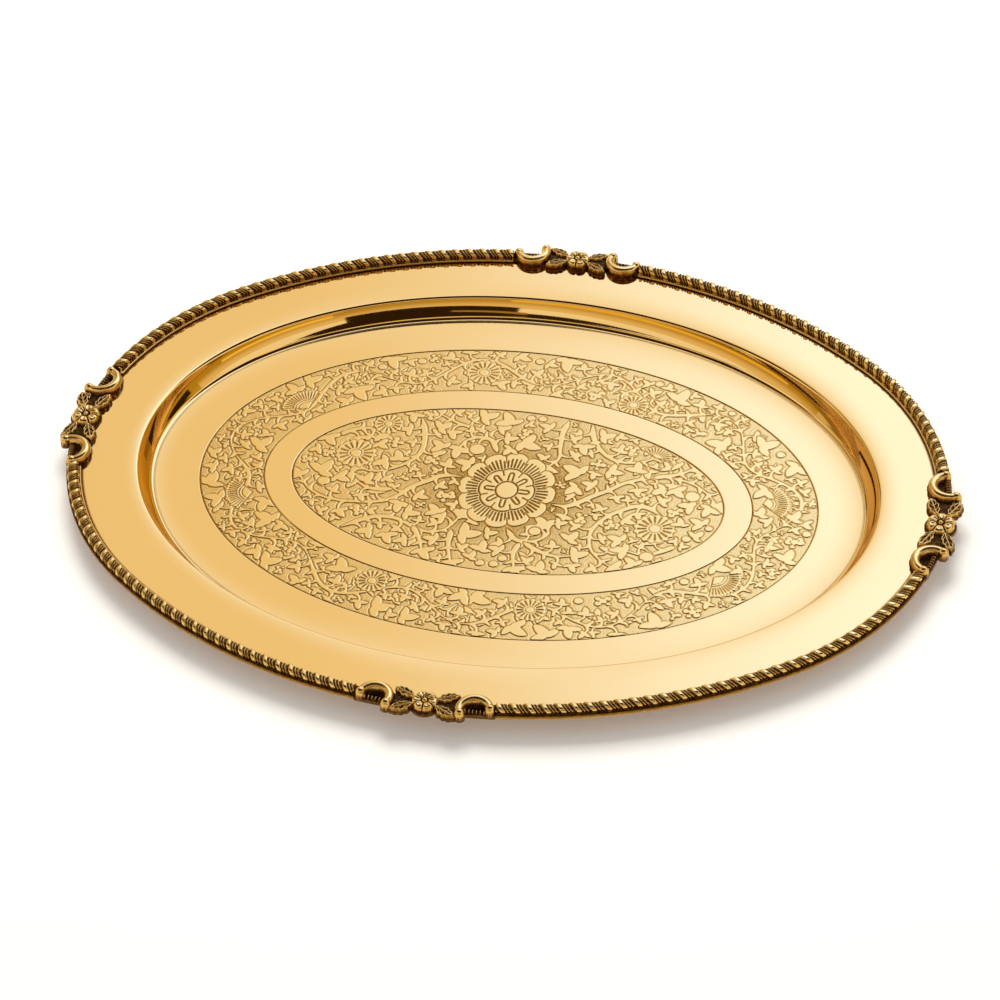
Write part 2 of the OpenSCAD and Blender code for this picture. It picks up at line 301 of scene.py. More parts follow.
def pan():
    """The pressed sheet: rim, wall and floor, with a shelf inside it under the engraved pieces."""
    # Pressing draws the sheet down a little on its way to the wall, and lifts it past the wall's foot.
    crest_z = RIM_Z - RIM_SAG
    foot_z = FLOOR_Z + FLOOR_LIFT
    first = atan(BEND_POWER * RIM_SAG / (CREST_INSET - SAG_FROM))
    last = atan(BEND_POWER * FLOOR_LIFT / (FLOOR_FLAT - WALL_INSET - WALL_RUN))
    wall_sin, wall_cos = sin(WALL_ANGLE), cos(WALL_ANGLE)
    drop = CREST_R * (cos(first) - wall_cos) + COVE_R * (cos(last) - wall_cos)
    run = CREST_R * (wall_sin - sin(first)) + COVE_R * (wall_sin - sin(last))
    run += (crest_z - foot_z - drop) / tan(WALL_ANGLE)
    foot = CREST_INSET + run

    def arc(inset, z, radius, start, end, count):
        """A bend about a middle, over these slopes; a radius below zero bends it upwards."""
        slopes = np.linspace(start, end, count)
        return [(inset + radius * sin(a), z + radius * cos(a)) for a in slopes]

    def bends(below):
        """The crest, the hollow wall and the cove, of the sheet's upper face or of the face below it."""
        middle = (CREST_INSET - CREST_R * sin(first), crest_z - CREST_R * cos(first))
        crest = arc(*middle, CREST_R - below, first, WALL_ANGLE, 11)
        middle = (foot + COVE_R * sin(last), foot_z + COVE_R * cos(last))
        cove = arc(*middle, -(COVE_R + below), WALL_ANGLE, last, 13)
        (w0, z0), (w1, z1) = crest[-1], cove[0]
        wall = []
        for k in np.linspace(0.04, 0.96, 9):
            bow = WALL_BOW * 4 * k * (1 - k)
            wall.append((w0 + (w1 - w0) * k - bow * wall_sin, z0 + (z1 - z0) * k - bow * wall_cos))
        return crest + wall + cove

    def line(inset, side):
        """Half of an engraved line at the plain floor's edge, then down to the shelf; side is 1 or -1."""
        half = [(0.9, 0.0), (0.42, 0.0), (0.3, 0.03), (0.12, 0.85 * LINE_DEPTH), (0.0, LINE_DEPTH)]
        return [(inset - side * off, FLOOR_Z - down) for off, down in half] + [(inset, SHELF_Z)]

    sag = [
        (w, RIM_Z - RIM_SAG * ((w - SAG_FROM) / (CREST_INSET - SAG_FROM)) ** BEND_POWER)
        for w in np.linspace(SAG_FROM, CREST_INSET, 12)[:-1]
    ]
    lift = [
        (w, FLOOR_Z + FLOOR_LIFT * ((FLOOR_FLAT - w) / (FLOOR_FLAT - foot)) ** BEND_POWER)
        for w in np.linspace(foot, FLOOR_FLAT, 14)[1:]
    ]
    # The section's points, as insets and heights, from under the border to near the tray's middle and back
    rim = [(w, RIM_Z) for w in (2.0, 6.0, 6.9, 7.3, 7.8, 12.0)]
    top = rim + sag + bends(0.0) + lift
    top += line(BAND_OUT, 1)
    top += [(w, SHELF_Z) for w in (62, 68, 74, 80)]
    top += line(BAND_IN, -1)[::-1]
    top += [(w, FLOOR_Z) for w in (89, 92.5, 96)]
    top += line(MEDALLION, 1)
    top += [(w, SHELF_Z) for w in (105, 115, 125)]
    below = [(125, 0.0), (100, 0.0), (70, 0.0)] + [(w, z - SHEET) for w, z in lift[::-1]]
    below += bends(SHEET)[::-1] + [(w, z - SHEET) for w, z in sag[::-1]]
    below += [(12, RIM_UNDER), (6, RIM_UNDER), (2.0, RIM_UNDER)]

    t = np.linspace(0, tau, PAN_STEPS + 1)[:-1]
    points = np.array([np.column_stack([ring(w, t), np.full(PAN_STEPS, z)]) for w, z in below + top])

    def tarnish(inset):
        """How dark the upper face is: in the cut lines, and a little beside them."""
        away = min(abs(inset - edge) for edge in (BAND_OUT, BAND_IN, MEDALLION))
        return 0.5 if away < 0.2 else 0.15 if away < 0.35 else 0.0

    darkening = [tarnish(w) for w, z in top]
    # Under the border the rim is dark, and just inside the border's foot a painted shade runs along the
    # rim.
    darkening[: len(rim)] = [0.9, 0.9, 0.8, 0.35, 0.0, 0.0]
    darkening[top.index(lift[0]) - 1] = 0.4  # a trace at the foot of the wall
    patina_and_shade = np.repeat([0.12] * len(below) + darkening, PAN_STEPS)
    tube("pan_sheet", points, patina_and_shade, sheet_brass, "sheet_brass", "pan")


pan()


# ---- the rope border

BEAD_R = 2.6
BEAD_INSET = BEAD_R + 0.4
BEAD_Z = RIM_Z + 1.7  # the bead's middle
BEAD_STEPS = 1640  # along one strip
SQUARE = 0.7  # the power that squares the bead's section
LOBES = 33
SLANT = tan(radians(28))
LOBE_AT, LOBE_HALF = 0.21, 0.19  # places and half widths as shares of the lobes' pitch
REEDS_AT, REED_HALF = (0.55, 0.77), 0.06
GROOVE = 0.85  # depth between the lobes
REED = 0.58  # height of the reeds in the groove

# The ledges beside the bead, from the inner side outwards: inset, height over the rim, and how dark it is
# Tarnish darkens the ledges, and painted shade darkens the inner ledge's foot and the outer ledge's face
# under the bead.
INNER_LEDGE = [
    (6.6, -0.05, 1.0), (6.6, 0.4, 0.8), (6.57, 0.7, 0.4), (6.45, 1.0, 0.15),
    (6.28, 1.18, 0.05), (6.08, 1.24, 0.1), (5.88, 1.16, 0.2), (5.7, 0.95, 0.35),
]
OUTER_LEDGE = [
    (0.36, 1.0, 1.0), (0.24, 0.92, 0.9), (0.1, 0.86, 0.7), (0.0, 0.65, 0.75), (0.0, -0.2, 0.5),
    (0.04, -0.7, 0.1), (0.16, -1.0, 0.1), (0.45, -1.2, 0.4), (1.9, -1.2, 0.6), (1.9, -0.05, 0.8),
]


def rope(name, start, end):
    """A cast strip between two lengths along the edge: a bead of slanted lobes and reeds between ledges."""
    s = np.linspace(start, end, BEAD_STEPS + 1)
    turn = np.radians(np.linspace(-100, 100, 31))  # round the bead, from the inner side outwards
    pitch = (end - start) / LOBES
    across = BEAD_R * np.clip(turn, -1.4, 1.4)
    u = ((s[:, None] - start - SLANT * across[None, :]) / pitch) % 1.0
    lobe = np.clip(1 - (np.abs(u - LOBE_AT) / LOBE_HALF) ** 6, 0, 1) ** 0.6
    reeds = sum(np.clip(1 - ((u - at) / REED_HALF) ** 2, 0, 1) ** 0.6 for at in REEDS_AT)
    height = -GROOVE + GROOVE * lobe + REED * reeds
    height -= 0.25 * smooth(np.abs(turn), 1.25, 1.7)[None, :]
    radius = BEAD_R + height
    inset = BEAD_INSET - (radius * np.abs(np.sin(turn)) ** SQUARE * np.sign(turn))
    z = BEAD_Z + radius * np.abs(np.cos(turn)) ** SQUARE * np.sign(np.cos(turn))
    darkening = np.maximum(0.92 * smooth(-height, 0.4, 0.66), 0.2 * (lobe < 0.01))
    # The bead's outer underside is painted dark, as painted shade under the bead.
    darkening = np.maximum(darkening, smooth(turn, 1.2, 1.5)[None, :])

    inner, outer = (np.tile(np.array(ledge), (len(s), 1, 1)) for ledge in (INNER_LEDGE, OUTER_LEDGE))
    inset = np.hstack([inner[..., 0], inset, outer[..., 0]])
    z = np.hstack([RIM_Z + inner[..., 1], z, RIM_Z + outer[..., 1]])
    darkening = np.hstack([inner[..., 2], darkening, outer[..., 2]])
    cx, cy, r, nx, ny = (v[:, None] for v in along_edge(s))
    points = np.stack([cx + (r - inset) * nx, cy + (r - inset) * ny, z], -1)
    tube("rope_" + name, points, darkening, cast_brass, "cast_brass", "border_" + name)


for k, name in enumerate(("back_right", "back_left", "front_left", "front_right")):
    before, after = (SIDE_HALF, END_HALF) if k % 2 else (END_HALF, SIDE_HALF)
    rope(name, k * QUARTER + before + JOINT, (k + 1) * QUARTER - after - JOINT)


# ---- the ornaments

# The four sides of a grid cell: the way to its neighbour there, and the side's two corners
CELL_SIDES = [((0, -1), (1, 0), (0, 0)), ((1, 0), (1, 1), (1, 0))]
CELL_SIDES += [((0, 1), (0, 1), (1, 1)), ((-1, 0), (0, 0), (0, 1))]


def grid_slab(x, y, top, bottom, edge, step):
    """A closed slab over the grid points where edge, a signed distance, is below zero.

    The points at the slab's outline move onto the line where edge is zero.
    """
    gx, gy = np.gradient(edge, step)
    length = np.maximum(np.hypot(gx, gy), 1e-6)
    inside = edge < 0.5 * step
    cell = inside[:-1, :-1] & inside[1:, :-1] & inside[:-1, 1:] & inside[1:, 1:]
    rows, cols = inside.shape
    pad = np.pad(cell, 1)
    around = [pad[a : a + rows, b : b + cols] for a in (0, 1) for b in (0, 1)]
    used = np.any(around, 0)
    rim = used & ~np.all(around, 0)
    move = np.where(rim, np.clip(edge, -step, step), 0.0)
    x = x - move * gx / length
    y = y - move * gy / length
    number = np.full(inside.shape, -1)
    number[used] = np.arange(used.sum())
    i, j = np.nonzero(cell)
    quads = np.stack([number[i, j], number[i + 1, j], number[i + 1, j + 1], number[i, j + 1]], -1)
    count = int(used.sum())
    sides = []
    for (di, dj), a, b in CELL_SIDES:
        beyond = pad[1 + di : rows + di, 1 + dj : cols + dj]
        i, j = np.nonzero(cell & ~beyond)
        p = number[i + a[0], j + a[1]]
        q = number[i + b[0], j + b[1]]
        sides.append(np.stack([p, q, q + count, p + count], -1))
    sides = np.concatenate(sides)
    verts = np.concatenate([np.column_stack([x[used], y[used], z[used]]) for z in (top, bottom)])
    return verts, quads, sides, used, count


CAST_STEP = 0.16  # the pitch of the ornaments' grid
LEDGE_INSET = 6.6
FLOWER_R = 6.4
FLOWER_INSET = 3.4
EYE_R = 1.25
LEAF_SLOPE = radians(24)
LEAF_AT = 11.3  # from the flower's middle to a leaf's middle
LEAF_HALF = (6.0, 2.7)
LEAF_PITCH = 3.0  # between a leaf's veins
SCROLL_R = 7.2
SCROLL_INSET = 1.0
SCROLL_FROM = 100  # a scroll's ends, in degrees
SCROLL_TO = 292
BALL_R = 2.3

# Heights of the ornaments' parts, before each one's own rounding
GROUND_Z = RIM_Z + 0.5
SKIRT_Z = RIM_Z + 1.25  # the most outside the ground's outline
LEAF_Z = RIM_Z + 1.5
PETAL_Z = RIM_Z + 1.7
BALL_Z = RIM_Z + 2.45
SCROLL_Z = RIM_Z + 2.5
EYE_Z = RIM_Z + 3.1
TOP_Z = RIM_Z + 4.85  # the castings are dressed to this height
NOWHERE = -9.0  # the height of a part where it isn't


def bulge(x):
    """0 at 0 and 1 from 1 on, along a quarter of a circle."""
    x = np.clip(x, 0, 1)
    return np.sqrt(x * (2 - x))


def round_off(away, radius):
    """The height of a ball or rod of this radius over its middle's level."""
    return np.sqrt(np.clip(radius**2 - away**2, 0, None))


def ornament(name, r, size, turn, middle):
    """A cast ornament on an arc of radius r: a flower, four leaves and two scrolls over a scalloped ground.

    It is modelled with its flower on +X and its two halves alike, then turned about the arc's middle.
    """
    half = size * END_HALF
    across = np.arange(r - 14.0, r + 6.0, CAST_STEP)
    x, y = np.meshgrid(across, np.arange(-half - 0.6, half + 0.6, CAST_STEP), indexing="ij")
    ay = np.abs(y)
    inset = r - np.hypot(x, y)
    along = r * np.arctan2(ay, x)
    fx = x - (r - FLOWER_INSET)
    rho = np.hypot(fx, ay)
    flower_r = FLOWER_R * size
    ledge = np.maximum(np.maximum(-inset, inset - LEDGE_INSET), along - half)
    outline = np.minimum(rho - (flower_r + 0.6), ledge)

    # Leaves: a raised, scalloped rim and raised veins round dark hollows.
    leaves = np.full(x.shape, NOWHERE)
    leaf_dark = np.zeros(x.shape)
    for out in (1, -1):
        dx, dy = out * sin(LEAF_SLOPE), cos(LEAF_SLOPE)
        a = fx * dx + ay * dy - size * LEAF_AT
        b = -fx * dy * out + ay * dx * out
        half_l, half_w = LEAF_HALF[0] * size, LEAF_HALF[1] * size
        side = (half_l**2 + half_w**2) / (2 * half_w)  # the radius of the leaf's two sides
        pitch = LEAF_PITCH * size
        lens = np.hypot(a, np.abs(b) + side - half_w) - side
        lens = lens + 0.22 * np.cos(tau * (a + 0.8) / pitch) * smooth(np.abs(b), 0.6, 1.6)
        h = LEAF_Z + 1.7 * bulge(-lens / (1.2 * size))
        hollow = smooth(-lens, 0.8 * size, 1.1 * size)
        fold = (a - 1.2 * np.abs(b)) / pitch
        vein = np.exp(-(((fold - np.round(fold)) * pitch / 0.46) ** 2))
        rib = np.maximum(0.85 * vein, np.exp(-((b / 0.5) ** 2)))
        h = h - 0.95 * hollow * (1 - rib) - 0.03 * np.clip(fx - 2.0, 0, 9) ** 2
        leaf_dark = np.where((lens < 0) & (h > leaves), hollow * (1 - 0.95 * rib), leaf_dark)
        leaves = np.where(lens < 0, np.maximum(leaves, h), leaves)
        outline = np.minimum(outline, lens - 0.17)
    ground = outline < 0

    # Scrolls: a rod that is thickest in its middle, a ball at each end, and a scalloped disc under them
    radius = SCROLL_R * size
    beta = (half - radius - BALL_R) / r
    sx = x * cos(beta) + ay * sin(beta) - (r - SCROLL_INSET)
    sy = -x * sin(beta) + ay * cos(beta)
    angle = np.degrees(np.arctan2(sy, sx)) % 360
    dist = np.hypot(sx, sy)
    scallop = 0.22 * np.cos(np.radians(angle) * 15)
    disc = np.maximum(np.maximum(dist - (radius + 2.45 + scallop), 0.4 - inset), along - half)
    outline = np.minimum(outline, disc)
    share = np.clip((angle - SCROLL_FROM) / (SCROLL_TO - SCROLL_FROM), 0, 1)
    thick = 1.85 + 0.4 * np.sin(pi * share)
    d = np.where((angle >= SCROLL_FROM) & (angle <= SCROLL_TO), np.abs(dist - radius), 99.0)
    rolls = np.where(d < thick, SCROLL_Z + round_off(d, thick), NOWHERE)
    outline = np.minimum(outline, np.maximum(d - thick, along - half))
    for at in (radians(SCROLL_FROM), radians(SCROLL_TO)):
        away = np.hypot(sx - radius * cos(at), sy - radius * sin(at))
        hump = BALL_Z + round_off(away, BALL_R)
        rolls = np.where(away < BALL_R, np.maximum(rolls, hump), rolls)
        outline = np.minimum(outline, away - BALL_R)

    # The ground: rounded at its outline, and inside the scrolls sunk, with a beaded row by the outer edge
    ground_top = GROUND_Z + 1.1 * bulge(-outline / 1.1)
    inside_c = (dist < radius - 1.2) & (inset > 0.3)
    beads = np.clip(np.cos(tau * along / 1.6), 0, 1) ** 0.6
    row = smooth(inset, 0.2, 0.7) * (1 - smooth(inset, 1.8, 3.4))
    ground_top = np.where(inside_c, GROUND_Z + 1.6 * row * (0.15 + 0.85 * beads), ground_top)

    # Cupped petals with creases between them, and a bead in a hollow at their middle
    sixth = np.arctan2(ay, fx) * 3 / pi + 0.5
    off = np.abs(sixth - np.round(sixth))
    spread = np.sqrt(np.clip(1 - (2 * off) ** 3, 0, 1))
    tip = flower_r * (0.86 + 0.14 * spread)
    swell = np.clip(1 - ((rho - 0.6 * tip) / (0.4 * tip)) ** 2, 0, 1) ** 0.45
    petals = np.where(rho < tip, PETAL_Z + 2.5 * swell * (0.35 + 0.65 * spread), NOWHERE)
    petals = petals - 0.55 * np.exp(-(((rho - 0.55 * tip) / (0.2 * tip)) ** 2) - (off * 5) ** 2)
    crease = np.where(rho < tip, 1 - smooth(rho * (0.5 - off) * pi / 3, 0.05, 0.42), 0.0)
    eye = np.where(rho < EYE_R, EYE_Z + 0.8 * round_off(rho, EYE_R), NOWHERE)
    hollow = np.where(rho < 2.6 * size, PETAL_Z, NOWHERE)

    top = np.where(ground | (disc < 0), ground_top, np.minimum(ground_top, SKIRT_Z))
    for part in (leaves, rolls, petals, hollow, eye):
        top = np.maximum(top, part)
    top = np.minimum(top, TOP_Z)
    on_rim = RIM_Z - 0.04  # a hair into the sheet, so that no gap shows
    bottom = np.where(inset > 1.9, on_rim, np.where(inset > -0.2, RIM_UNDER, RIM_UNDER + 0.4))

    # Tarnish lies in the hollows and on the low ground, and the steep sides are darker.
    soft = blur(top, 0.12 / CAST_STEP)
    wide = blur(top, 0.9 / CAST_STEP)
    gx, gy = np.gradient(soft, CAST_STEP)
    darkening = smooth(wide - soft, 0.02, 0.36)
    darkening = np.maximum(darkening, 1 - smooth(soft, RIM_Z + 2.02, RIM_Z + 2.3))
    darkening = np.where(inside_c, 1 - 0.9 * row * beads, darkening)
    darkening = np.maximum(darkening, 0.8 * smooth(np.hypot(gx, gy), 1.5, 3.2))
    on_leaf = (leaves > ground_top) & (leaves > rolls) & (leaves > petals)
    darkening = np.where(on_leaf, np.maximum(0.5 * darkening, leaf_dark), darkening)
    on_flower = (petals > 0) & (rho < flower_r)
    darkening = np.where(on_flower, np.maximum(0.4 * darkening, crease), darkening)
    darkening = np.where(rho < 2.0 * size, smooth(rho, 1.1, 1.35), darkening)
    darkening = np.where(rolls >= top - 0.01, 0.3 * darkening, darkening)

    verts, quads, sides, used, count = grid_slab(x, y, soft, bottom, outline, CAST_STEP)
    c, s = cos(turn), sin(turn)
    verts[:, :2] = verts[:, :2] @ [[c, s], [-s, c]] + middle
    patina_and_shade = np.concatenate([darkening[used], np.full(count, 0.6)])
    faces = np.concatenate([quads, sides, quads[:, ::-1] + count])
    new_piece("flower_" + name, verts, faces, patina_and_shade, cast_brass, "cast_brass", "ornament_" + name)


ornament("right", END_R, 1.0, 0.0, (END_C, 0.0))
ornament("back", SIDE_R, SIDE_SIZE, pi / 2, (0.0, -SIDE_C))
ornament("left", END_R, 1.0, pi, (-END_C, 0.0))
ornament("front", SIDE_R, SIDE_SIZE, -pi / 2, (0.0, SIDE_C))


# ---- the engraving

STEP = 0.3  # the pitch of the engraving's grid
REACH = 5.0  # how far round a motif its distance is kept
FAR = 9.0  # a distance that stands for none
MOST_FILLERS = 900


def spline(points, pitch=1.2):
    """Points about a pitch apart on a smooth curve through these."""
    p = np.asarray(points, float)
    p = np.vstack([2 * p[0] - p[1], p, 2 * p[-1] - p[-2]])
    parts = []
    for a, b, c, d in zip(p[:-3], p[1:-2], p[2:-1], p[3:]):
        t = np.linspace(0, 1, int(np.hypot(*(c - b)) / pitch) + 2)[:-1, None]
        curved = (2 * a - 5 * b + 4 * c - d) * t**2 + (3 * b - a - 3 * c + d) * t**3
        parts.append(0.5 * (2 * b + (c - a) * t + curved))
    return np.vstack(parts + [p[-2:-1]])


def trail(x, y, way, length, bend):
    """Points that run off in an even bend, with the share of the way and the heading at each."""
    t = np.linspace(0, 1, int(length / 0.8) + 3)
    heading = way + bend * t
    steps = np.stack([np.cos(heading), np.sin(heading)], -1) * length / len(t)
    return np.array([x, y]) + np.cumsum(steps, 0), t, heading


class Engraving:
    """A grid that holds the distance in from the motifs' outline, and the distance from the nearest cut.

    Lines are first drawn on a layer of their own, and then laid over the rest as one motif.
    """

    def __init__(self, outer):
        self.outer = outer
        nx, ny = (round((half - outer + 1) / STEP) for half in (HALF_L, HALF_W))
        self.xs = STEP * np.arange(-nx, nx + 1)
        self.ys = STEP * np.arange(-ny, ny + 1)
        self.motif = np.full((len(self.xs), len(self.ys)), -FAR)
        self.cut = np.full(self.motif.shape, FAR)
        self.drawn = np.full(self.motif.shape, -FAR)

    def near(self, low, high):
        """The part of the grid between two corners, as slices and as points."""
        i = slice(*np.searchsorted(self.xs, (low[0] - REACH, high[0] + REACH)))
        j = slice(*np.searchsorted(self.ys, (low[1] - REACH, high[1] + REACH)))
        px, py = np.meshgrid(self.xs[i], self.ys[j], indexing="ij")
        return (i, j), px, py

    def turned(self, x, y, r, turn=0.0):
        """The grid within r of a point, as seen from there with an angle for its first axis."""
        at, px, py = self.near((x - r, y - r), (x + r, y + r))
        c, s = cos(turn), sin(turn)
        return at, (px - x) * c + (py - y) * s, (py - y) * c - (px - x) * s

    def add(self, at, field, cuts):
        """Lays a motif over what is there, and cuts its outline."""
        self.cut[at] = np.where(field > 0, np.minimum(cuts, field), np.minimum(self.cut[at], -field))
        self.motif[at] = np.maximum(self.motif[at], field)

    def disc(self, x, y, r):
        """A plain round berry."""
        at, px, py = self.turned(x, y, r)
        self.add(at, r - np.hypot(px, py), FAR)

    def blossom(self, x, y, r, lobes, turn=0.0):
        """A small flower of uneven round lobes, with a pricked hole in each notch."""
        at, px, py = self.turned(x, y, r, turn)
        field = 0.45 * r - np.hypot(px, py)
        cuts = np.full(px.shape, FAR)
        for k in range(lobes):
            a = k * tau / lobes + 0.25 * sin(3.1 * k + turn)
            big = r * (0.36 + 0.07 * sin(2.3 * k + 5 * turn))
            lobe = big - np.hypot(px - (r - big) * cos(a), py - (r - big) * sin(a))
            field = np.maximum(field, lobe)
            a += pi / lobes
            hole = np.hypot(px - 0.42 * r * cos(a), py - 0.42 * r * sin(a)) - 0.16
            cuts = np.minimum(cuts, hole)
        self.add(at, field, cuts if r > 2.6 else FAR)

    def daisy(self, x, y, r, rays):
        """A round flower with dark wedges from its ringed middle to near its scalloped rim."""
        at, px, py = self.turned(x, y, r)
        rho, phi = np.hypot(px, py), np.arctan2(py, px)
        swing = phi * rays / tau
        off = np.abs(swing - np.round(swing))
        field = r * (0.95 + 0.05 * np.cos(tau * off)) - rho
        wedge = rho * (0.5 - off) * tau / rays - 0.035 * rho
        cuts = np.where((rho > 0.36 * r) & (rho < 0.8 * r), wedge, FAR)
        self.add(at, field, np.minimum(cuts, np.abs(rho - 0.27 * r) + 0.05))

    def fan(self, x, y, r, turn, spread, ribs):
        """A fan with dark ribs, a plain scalloped rim and an inner arc."""
        at, px, py = self.turned(x, y, r, turn)
        rho, phi = np.hypot(px, py), np.arctan2(py, px)
        swing = (phi / spread + 0.5) * ribs
        off = np.abs(swing - np.floor(swing) - 0.5)
        rim = r * (0.96 + 0.04 * np.cos(tau * off)) - rho
        field = np.minimum(rim, rho * np.sin(np.clip(spread / 2 - np.abs(phi), -1.5, 1.5)))
        rib = rho * (0.5 - off) * spread / ribs - 0.06
        cuts = np.where((rho > 0.52 * r) & (rho < 0.86 * r), rib, FAR)
        cuts = np.minimum(cuts, np.minimum(np.abs(rho - 0.46 * r), np.abs(rho - 0.36 * r) + 0.05))
        self.add(at, field, cuts)

    def stroke(self, path, half):
        """Joins to what is drawn a line through these points, with half its width at each."""
        for a, b, w, v in zip(path[:-1], path[1:], half[:-1], half[1:]):
            at, px, py = self.near(np.minimum(a, b), np.maximum(a, b))
            d = b - a
            t = np.clip(((px - a[0]) * d[0] + (py - a[1]) * d[1]) / max(d @ d, 0.01), 0, 1)
            away = np.hypot(px - a[0] - t * d[0], py - a[1] - t * d[1])
            self.drawn[at] = np.maximum(self.drawn[at], w + t * (v - w) - away)

    def lay(self, x=0.0, y=0.0, r=999.0):
        """Adds what is drawn within r of a point, as one motif."""
        at, _, _ = self.near((x - r, y - r), (x + r, y + r))
        self.add(at, self.drawn[at], FAR)
        self.drawn[at] = -FAR

    def frond(self, x, y, way, length, bend, width):
        """A curved leaf, thickest before its middle, that runs off from a point."""
        path, t, _ = trail(x, y, way, length, bend)
        self.stroke(path, width / 2 * np.sin(pi * np.clip(t, 0.03, 1) ** 0.75) ** 0.7 + 0.05)

    def spray(self, x, y, way, size):
        """A leaf of three curled lobes."""
        for lean, share in ((-0.95, 0.72), (0.85, 0.8), (0.0, 1.0)):
            self.frond(x, y, way + lean, size * share, 1.0 * lean + 0.5, 0.56 * size * share)

    def branch(self, x, y, way, length, bend):
        """A curling side stem that ends in a leaf."""
        path, t, heading = trail(x, y, way, length, bend)
        self.spray(*path[-2], heading[-1], 0.9 * length)
        self.stroke(path, 1.2 - 0.6 * t)

    def vine(self, points, width=1.65, leaves=1.1):
        """A stem through these points, with curling branches on both sides and a leaf at its end."""
        path = spline(points)
        t = np.linspace(0, 1, len(path))
        for n, k in enumerate(range(4, len(path) - 2, 5)):
            step = path[k + 1] - path[k - 1]
            way = atan2(step[1], step[0])
            side = 1 if n % 2 else -1
            self.branch(*path[k], way + side * 0.45, leaves * (6.6 - 0.9 * (n % 3)), side * 1.5)
            if n % 3 == 1:
                self.frond(*path[k], way - side * 0.5, leaves * 5.0, -side * 1.2, 2.0)
        step = path[-1] - path[-3]
        self.spray(*path[-1], atan2(step[1], step[0]), 7.4 * leaves)
        self.stroke(path, width * (1.05 - 0.6 * t) * np.clip(0.35 + 6 * t, 0, 1))
        self.lay()

    def rosette(self):
        """The middle flower, drawn out across the tray: barred petals round small looped ones."""
        at, px, py = self.turned(0, 0, 26)
        py = py / 1.14
        rho, phi = np.hypot(px, py), np.arctan2(py, px)

        def swing(number, phase=0.0):
            """The turn from the nearest of so many rays, at most 0.5."""
            turns = phi * number / tau + phase
            return np.abs(turns - np.round(turns))

        def ray(number, phase=0.0):
            """The distance from the nearest of so many rays."""
            return rho * swing(number, phase) * tau / number

        cuts = np.full(px.shape, FAR)

        def engrave(where, distance):
            """Adds cuts in a part of the flower, by their distance."""
            np.minimum(cuts, np.where(where, distance, FAR), out=cuts)

        notch = (2 * swing(12)) ** 3
        inner = 12.4 - 0.9 * (2 * swing(8)) ** 3
        engrave((rho > inner + 0.7) & (rho < 18.4 - 2.2 * notch), ray(60) - 0.17)  # bars
        engrave(rho > 15.6, ray(12, 0.5))  # between the outer petals
        engrave(True, np.abs(rho - inner) - 0.12)  # the inner petals' tips
        engrave((rho > 8.4) & (rho < inner), ray(8, 0.5) - 0.05)  # between the inner petals
        loop = np.hypot(np.maximum(np.abs(rho - 7.4) - 1.6, 0), ray(8))
        engrave(rho > 5.5, np.abs(loop - 1.0) - 0.14)
        engrave(True, np.abs(rho - 4.9) - 0.12)  # the eye
        self.add(at, 21.8 - 2.4 * notch - rho, cuts)

    def fill(self, room, least):
        """Puts small motifs in the widest empty places, down to places of radius least."""
        for n in range(MOST_FILLERS):
            empty = np.minimum(-self.motif, room)[::2, ::2]
            i, j = np.unravel_index(np.argmax(empty), empty.shape)
            if empty[i, j] < least:
                return
            x, y, r = self.xs[2 * i], self.ys[2 * j], min(empty[i, j] - 0.5, 4.6)
            way = 2.4 * n
            if n % 5 == 2:
                self.blossom(x, y, r, 3 + n % 3, way)
            elif n % 9 == 4:
                self.disc(x, y, min(r, 2.2))
            else:
                self.spray(x - r * cos(way), y - r * sin(way), way, 2.2 * r)
                self.lay(x, y, r)


def past_ellipse(x, y, inset):
    """About the distance outside the ellipse at an inset, below zero inside it."""
    a, b = HALF_L - inset, HALF_W - inset
    g = np.maximum(np.hypot(x / a, y / b), 1e-6)
    return (g - 1) * g / np.maximum(np.hypot(x / a**2, y / b**2), 1e-9)


def ellipse_walk(inset, count):
    """Even steps round the ellipse at an inset: the points, and the outward normals."""
    t = np.linspace(0, tau, 1441)
    p = ring(inset, t)
    run = np.concatenate([[0], np.cumsum(np.hypot(*np.diff(p, axis=0).T))])
    t = np.interp(np.arange(count) / count * run[-1], run, t)
    normal = np.stack([np.cos(t) / (HALF_L - inset), np.sin(t) / (HALF_W - inset)], -1)
    return ring(inset, t), normal / np.hypot(*normal.T)[:, None]


